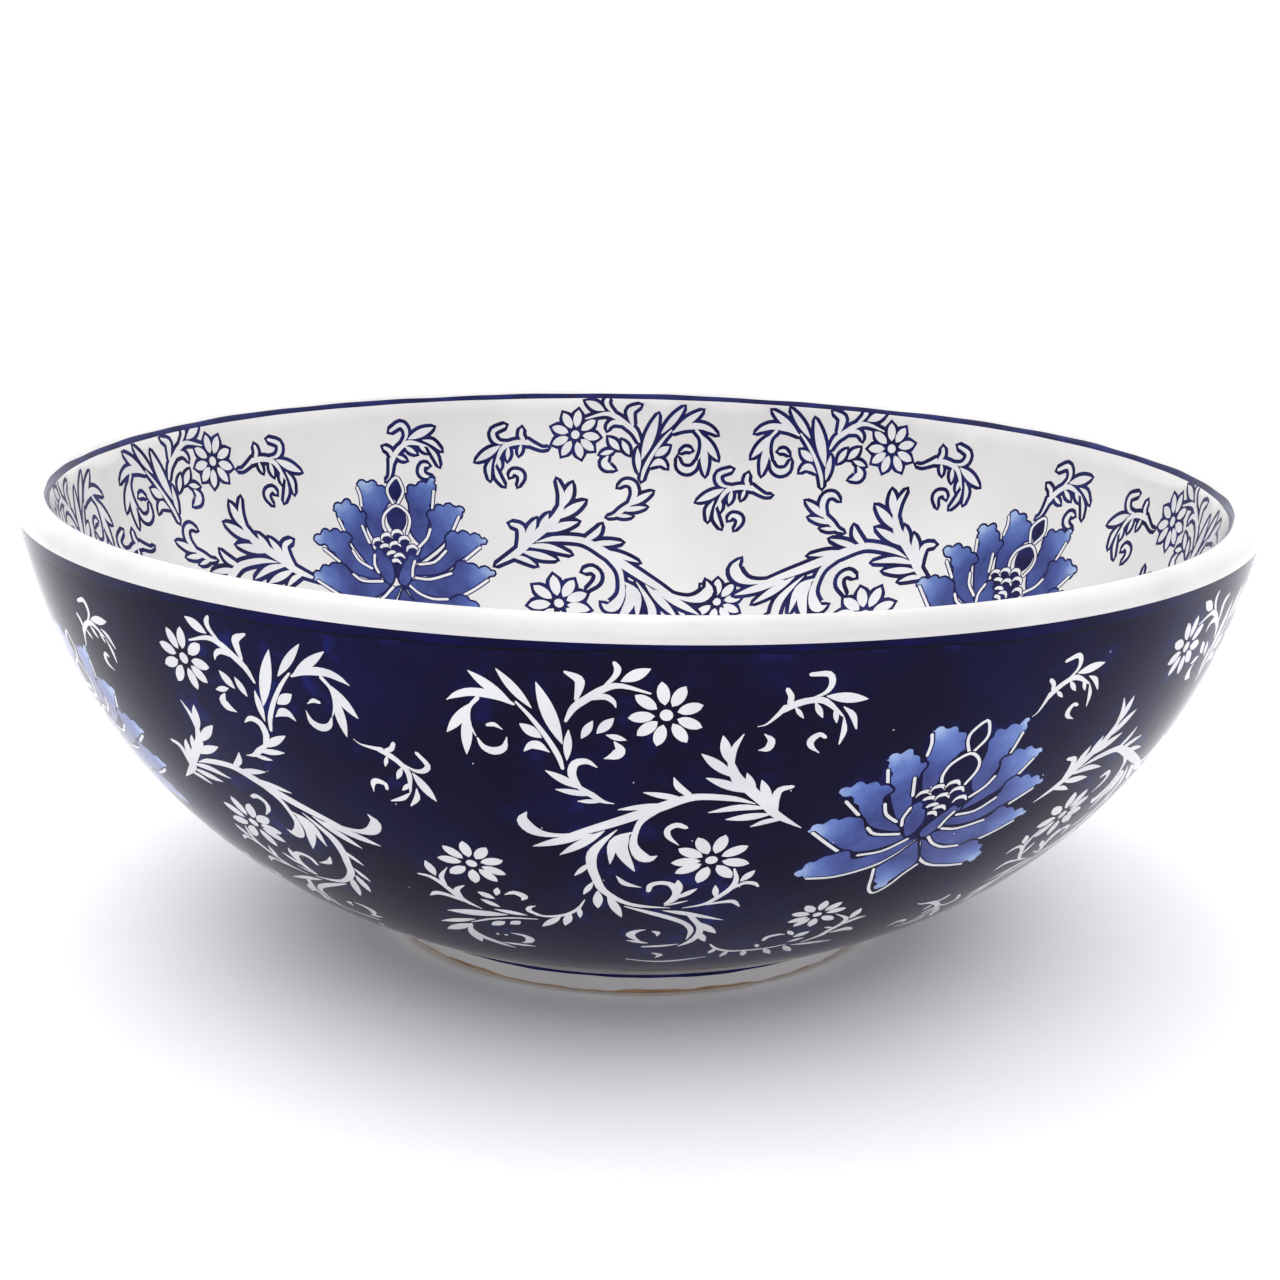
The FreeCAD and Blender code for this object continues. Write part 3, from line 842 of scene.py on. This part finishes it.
def outer_painting():
    """Four big flowers, and in each gap between them a scroll unit and its mirror image."""
    paints = {"dark": 0, "leaf": 1, "highlight": 1, "petal": 2, "band": 3, "edge": 4}
    painting = Painting(outside, OUTER_RUN, paints, outlined=False)
    place, as_read = painting.place, painting.place_as_read
    quarter = 90.7
    slight = 0.92
    front_shift = 88.0
    for shift in (-front_shift - quarter, -front_shift, 0.0, quarter):
        for motif in (BRANCH, CLUSTER, SPRAY, LOWER_SCROLL, LEFT_SCROLL, RIGHT_SCROLL, LOOSE_SPRIG):
            as_read(motif, shift)
        if shift == 0.0:
            as_read(BRANCH, mirror_about=27.4, lift=0.8)
            as_read(SPRAY, mirror_about=26.25, lift=-4)
            as_read(LOWER_SCROLL, mirror_about=26.25, lift=-4)
        else:
            as_read(BRANCH, shift + front_shift, mirror_about=-17.9, lift=0.8)
            as_read(CLUSTER, shift + front_shift, mirror_about=-17.9, lift=0.8)
            as_read(SPRAY, shift + front_shift, mirror_about=-16.1, lift=-8.3)
            as_read(LOWER_SCROLL, shift + front_shift, mirror_about=-16.1, lift=-8.3)
        place(SPRIG, -22.35 + shift, 151.4, turn=-56, scale=slight)
        place(SPRIG, 32.9 + shift, 157.2, turn=16, scale=slight)
        place(SPRIG, 33 + shift, 78, turn=-60)
        painting.place_flower(FLOWER_HEART[0] + shift, FLOWER_HEART[1])
    lowest, span = PINHOLE_ZONE
    for count in range(PINHOLES):
        place(PINHOLE, (PINHOLE_TURN * count) % 360 - 180, lowest + (PINHOLE_RISE * count) % span)

    def low(bearing):
        """The band's lower edge, narrow in front and deeper at the sides."""
        return OUTER_RUN - 3.3 + 1.3 * np.cos(2 * np.radians(bearing)) + wave(bearing, 0.9, 0.7)

    edge_band(painting, "edge", lambda b: low(b) - 0.6)
    edge_band(painting, "band", low)
    return painting


def inner_painting():
    """The same motifs inside, white with a dark outline, turned so that a flower faces each quarter."""
    paints = {"leaf": 1, "highlight": 1, "petal": 2, "dark": 3}
    painting = Painting(inside, INNER_END, paints, outlined=True)
    place = painting.place
    small, large = 1.06, 1.19
    for shift in (-184.0, -92.0, 0.0, 90.0):
        place(LEFT_SCROLL, 12 + shift, 148, scale=small)
        place(RIGHT_SCROLL, -34 + shift, 143, scale=small)
        place(LOWER_SCROLL, 33 + shift, 140, scale=small)
        place(BRANCH, 24.65 + shift, 244.1, scale=small)
        place(CLUSTER, 25.5 + shift, 214, scale=small)
        place(SPRAY, 39.3 + shift, 202.4, turn=3.5, scale=large)
        place(BRANCH, -0.3 + shift, 242.5, mirror=True, scale=small)
        place(CLUSTER, -1.5 + shift, 214, mirror=True, scale=small)
        place(SPRAY, -15.25 + shift, 198.8, mirror=True, turn=-9, scale=large)
        place(SPRIG, -12 + shift, 238, mirror=True, turn=22, scale=small)
        place(SPRIG, 17.5 + shift, 221, mirror=True, turn=22, scale=small)
        place(SPRIG, 36.5 + shift, 240, turn=-22, scale=small)
        place(SPRIG, -34 + shift, 228, turn=27, scale=small)
        painting.place_flower(-35.3 + shift, 185, scale=1.1)
    edge_band(painting, "dark", lambda b: INNER_END - 0.2 + wave(b, 0.15, 2.1))
    return painting


# ---- Materials

def new_material(name):
    """An empty node material, with its nodes and links."""
    material = bpy.data.materials.new(name)
    material.use_nodes = True
    return material, material.node_tree.nodes, material.node_tree.links


def noise(nodes, links, scale, detail=4.0):
    """Cloudy variation that sits still on the object."""
    coordinates = nodes.new("ShaderNodeTexCoord")
    texture = nodes.new("ShaderNodeTexNoise")
    texture.inputs["Scale"].default_value = scale
    texture.inputs["Detail"].default_value = detail
    links.new(coordinates.outputs["Object"], texture.inputs["Vector"])
    return texture.outputs["Fac"]


def ramp(nodes, links, value, stops):
    """Colours between stops of (position, colour)."""
    node = nodes.new("ShaderNodeValToRGB")
    node.color_ramp.elements[0].position = stops[0][0]
    node.color_ramp.elements[1].position = stops[-1][0]
    for position, _ in stops[1:-1]:
        node.color_ramp.elements.new(position)
    for element, (_, colour) in zip(node.color_ramp.elements, stops):
        element.color = (*colour, 1)
    links.new(value, node.inputs["Fac"])
    return node.outputs["Color"]


def combine(nodes, links, operation, first, second):
    """Two values joined by arithmetic and kept between 0 and 1."""
    node = nodes.new("ShaderNodeMath")
    node.operation = operation
    node.use_clamp = True
    for socket, value in zip(node.inputs, (first, second)):
        if isinstance(value, float):
            socket.default_value = value
        else:
            links.new(value, socket)
    return node.outputs["Value"]


def attribute(nodes, name):
    """A value that the mesh carries."""
    node = nodes.new("ShaderNodeAttribute")
    node.attribute_name = name
    return node.outputs["Fac"]


def finish_surface(nodes, links, colour, roughness, bump, grain):
    """Joins the colour, an uneven gloss and a slight ripple to the shader."""
    shader = nodes["Principled BSDF"]
    links.new(colour, shader.inputs["Base Color"])
    cloud = noise(nodes, links, grain)
    spread = nodes.new("ShaderNodeMapRange")
    spread.inputs["To Min"].default_value = roughness[0]
    spread.inputs["To Max"].default_value = roughness[1]
    links.new(cloud, spread.inputs["Value"])
    links.new(spread.outputs["Result"], shader.inputs["Roughness"])
    ripple = nodes.new("ShaderNodeBump")
    ripple.inputs["Strength"].default_value = bump
    ripple.inputs["Distance"].default_value = 0.0004
    links.new(cloud, ripple.inputs["Height"])
    links.new(ripple.outputs["Normal"], shader.inputs["Normal"])
    return shader


def cobalt_glaze():
    """Near-black navy in clouds, brushed a lighter blue in places round the marks."""
    material, nodes, links = new_material("cobalt_glaze")
    cloud = ramp(nodes, links, noise(nodes, links, 22), [(0.4, (0, 0, 0)), (0.62, (0.55, 0.55, 0.55))])
    patch = ramp(nodes, links, noise(nodes, links, 110), [(0.52, (0, 0, 0)), (0.66, (1, 1, 1))])
    washed = combine(nodes, links, "MULTIPLY", patch, attribute(nodes, "near_mark"))
    mixed = combine(nodes, links, "ADD", cloud, combine(nodes, links, "MULTIPLY", washed, 0.6))
    stops = [(0.0, (0.0038, 0.003, 0.015)), (0.55, (0.005, 0.0042, 0.032)), (1.0, (0.0062, 0.009, 0.075))]
    shader = finish_surface(nodes, links, ramp(nodes, links, mixed, stops), (0.05, 0.1), 0.1, 60)
    shader.inputs["Specular IOR Level"].default_value = 0.045
    return material


def flat_glaze(name, dark, light, grain=40, roughness=(0.08, 0.16), bump=0.1, gloss=0.5):
    """A glaze whose colour drifts between two close tones."""
    material, nodes, links = new_material(name)
    colour = ramp(nodes, links, noise(nodes, links, grain), [(0.35, dark), (0.65, light)])
    shader = finish_surface(nodes, links, colour, roughness, bump, grain)
    shader.inputs["Specular IOR Level"].default_value = gloss
    return material


def petal_glaze():
    """Blue petals: deep at the flower's heart, clouded, and pale at each tip."""
    material, nodes, links = new_material("petal_glaze")
    cloud = combine(nodes, links, "MULTIPLY", noise(nodes, links, 120, 6.0), 0.62)
    tone = combine(nodes, links, "MULTIPLY", attribute(nodes, "tone"), 0.72)
    mixed = combine(nodes, links, "ADD", tone, cloud)
    stops = [
        (0.2, (0.018, 0.027, 0.145)), (0.45, (0.042, 0.07, 0.26)),
        (0.75, (0.095, 0.155, 0.4)), (1.0, (0.27, 0.36, 0.58)),
    ]
    shader = finish_surface(nodes, links, ramp(nodes, links, mixed, stops), (0.08, 0.16), 0.1, 70)
    shader.inputs["Specular IOR Level"].default_value = 0.2
    return material


MATERIALS = {
    "cobalt": cobalt_glaze(),
    "petals": petal_glaze(),
    "scroll": flat_glaze("scroll_white", (0.52, 0.525, 0.55), (0.6, 0.6, 0.615), 55),
    "white": flat_glaze("white_glaze", (0.59, 0.575, 0.57), (0.66, 0.645, 0.64), 18),
    "lip": flat_glaze("lip_white", (0.5, 0.49, 0.485), (0.57, 0.56, 0.555), 30),
    "edge": flat_glaze("band_edge", (0.001, 0.001, 0.004), (0.002, 0.0015, 0.012), 70, gloss=0.06),
    "leaf": flat_glaze("inner_leaf_white", (0.6, 0.595, 0.61), (0.66, 0.655, 0.67), 50),
    "band": flat_glaze("band_blue", (0.0012, 0.001, 0.022), (0.0025, 0.002, 0.045), 70, gloss=0.06),
    "line": flat_glaze("line_blue", (0.004, 0.004, 0.04), (0.012, 0.014, 0.1), 80, gloss=0.1),
    "clay": flat_glaze("bare_clay", (0.27, 0.16, 0.085), (0.5, 0.35, 0.22), 120, (0.7, 0.9), 0.5, 0.2),
    "floor": flat_glaze("pale_floor", (0.9, 0.9, 0.92), (0.94, 0.94, 0.96), 3, (0.8, 0.9), 0.02, gloss=0.1),
}


def finished(piece, material, slot, *nodes):
    """Gives a piece its material and its body, and hides the CAD nodes that it stands for."""
    piece.data.materials.clear()
    piece.data.materials.append(MATERIALS[material])
    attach(piece, "root")
    if nodes:
        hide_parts(*nodes)


# ---- The bowl's pieces

def painted_walls():
    """The outer and the inner coat, each cut into its ground and its painted marks."""
    names = ("outer_ground", "outer_scrollwork", "outer_petals", "outer_rim_band", "outer_rim_edge")
    ground, scroll, petals, band, edge = outer_painting().pieces(names, front=-1)
    finished(ground, "cobalt", "cobalt_glaze", "outer_cobalt_glaze")
    finished(scroll, "scroll", "white_glaze")
    finished(petals, "petals", "flower_blue")
    finished(band, "band", "cobalt_line")
    finished(edge, "edge", "cobalt_line")
    names = ("inner_ground", "inner_leaves", "inner_petals", "inner_linework")
    ground, leaf_fill, petals, lines = inner_painting().pieces(names, front=1)
    finished(ground, "white", "white_glaze", "inner_white_glaze")
    finished(leaf_fill, "leaf", "white_glaze")
    finished(petals, "petals", "flower_blue")
    finished(lines, "line", "cobalt_line")


def lip_pieces():
    """The white lip and the line inside it, which share a brushed edge."""
    lip_start = math.degrees(RIM_SLOPE) - 90

    def brushed_edge(bearing):
        return LINE_TOP + wave(bearing, 5, 1.3)

    white = ring("rim_glaze", lip, lambda b: lip_start + 0 * b, brushed_edge, 14, INLAY)
    finished(white, "lip", "white_glaze", "rim_white_glaze")
    line = ring("rim_line", lip, brushed_edge, lambda b: LINE_END + 0 * b, 3, INLAY)
    finished(line, "line", "cobalt_line", "inner_rim_line")


def foot_pieces():
    """The foot's white glaze, which ends in an uneven edge above the bare clay, and the line over it."""
    depth = 2 * INLAY

    def glaze_end(bearing):
        return FOOT_GLAZE_LOW + 0.6 + wave(bearing, 0.9, 0.4)

    def line_start(bearing):
        return FOOT_LINE_LOW + wave(bearing, 0.3, 2.5)

    glaze = ring("foot_glaze", foot, glaze_end, line_start, 3, depth)
    finished(glaze, "white", "white_glaze", "foot_white_glaze")
    line = ring("foot_band", foot, line_start, lambda b: FOOT_LEVEL + 0 * b, 2, depth)
    finished(line, "line", "cobalt_line", "foot_line")


def cad_finishes():
    """The clay and the underside keep their own shapes."""
    finishes = {"clay_wall": "clay", "foot_ring": "clay", "underside_white_glaze": "white"}
    for node, material in finishes.items():
        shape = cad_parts[node]
        shape.data.materials.clear()
        shape.data.materials.append(MATERIALS[material])


# ---- The studio

def floor():
    """A wide pale floor."""
    bpy.ops.mesh.primitive_plane_add(size=14, location=(0, 0, 0))
    ground = bpy.context.object
    ground.name = "floor"
    ground.data.materials.append(MATERIALS["floor"])


def softbox(name, place, size, power):
    """A square lamp that faces the bowl."""
    lamp = bpy.data.lights.new(name, "AREA")
    lamp.shape = "SQUARE"
    lamp.size = size
    lamp.energy = power
    box = bpy.data.objects.new(name, lamp)
    box.location = place
    box.rotation_euler = (Vector((0, 0, 0.08)) - Vector(place)).to_track_quat("-Z", "Y").to_euler()
    bpy.context.collection.objects.link(box)


def skylight():
    """A wide, even light from above that keeps the floor white far from the bowl."""
    lamp = bpy.data.lights.new("skylight", "SUN")
    lamp.energy = 1.0
    lamp.angle = math.radians(120)
    sky = bpy.data.objects.new("skylight", lamp)
    bpy.context.collection.objects.link(sky)


def room():
    """White walls behind and overhead, and slightly dimmer ones on the camera's side."""
    world = bpy.data.worlds.new("room")
    bpy.context.scene.world = world
    world.use_nodes = True
    nodes, links = world.node_tree.nodes, world.node_tree.links
    direction = nodes.new("ShaderNodeTexCoord")
    parts = nodes.new("ShaderNodeSeparateXYZ")
    links.new(direction.outputs["Generated"], parts.inputs["Vector"])
    levels = []
    for axis, start, end in (("Y", -0.75, 0.15), ("Z", 0.35, 0.85)):
        level = nodes.new("ShaderNodeMapRange")
        level.inputs["From Min"].default_value = start
        level.inputs["From Max"].default_value = end
        links.new(parts.outputs[axis], level.inputs["Value"])
        levels.append(level.outputs["Result"])
    bright = combine(nodes, links, "MAXIMUM", *levels)
    colour = ramp(nodes, links, bright, [(0.0, (0.75, 0.75, 0.78)), (1.0, (1, 1, 1))])
    links.new(colour, nodes["Background"].inputs["Color"])
    nodes["Background"].inputs["Strength"].default_value = 1.3


def camera():
    """The photograph's viewing angle: in front, above the rim, level to within a little roll."""
    pitch, yaw, roll = 0.2549, 0.0016, 0.022
    away, above = 3.6072, 1.4047  # in rim radii
    bowl = RIM_RADIUS * MM
    forward = Vector((math.sin(yaw) * math.cos(pitch), math.cos(yaw) * math.cos(pitch), -math.sin(pitch)))
    right = forward.cross(Vector((0, 0, 1))).normalized()
    up = right.cross(forward)
    across = math.cos(roll) * right + math.sin(roll) * up
    upright = -math.sin(roll) * right + math.cos(roll) * up
    lens = bpy.data.cameras.new("camera")
    lens.lens = 61.875
    lens.sensor_width = 36
    eye = bpy.data.objects.new("camera", lens)
    bpy.context.collection.objects.link(eye)
    turn = Matrix((across, upright, -forward)).transposed().to_4x4()
    eye.matrix_world = Matrix.Translation((0, -away * bowl, above * bowl)) @ turn
    bpy.context.scene.camera = eye


painted_walls()
lip_pieces()
foot_pieces()
cad_finishes()
floor()
room()
softbox("overhead", (-0.5, 0.3, 1.5), 1.4, 5)
softbox("front", (0.4, -1.6, 1.0), 1.2, 3)
skylight()
camera()
bpy.context.scene.view_settings.view_transform = "Standard"
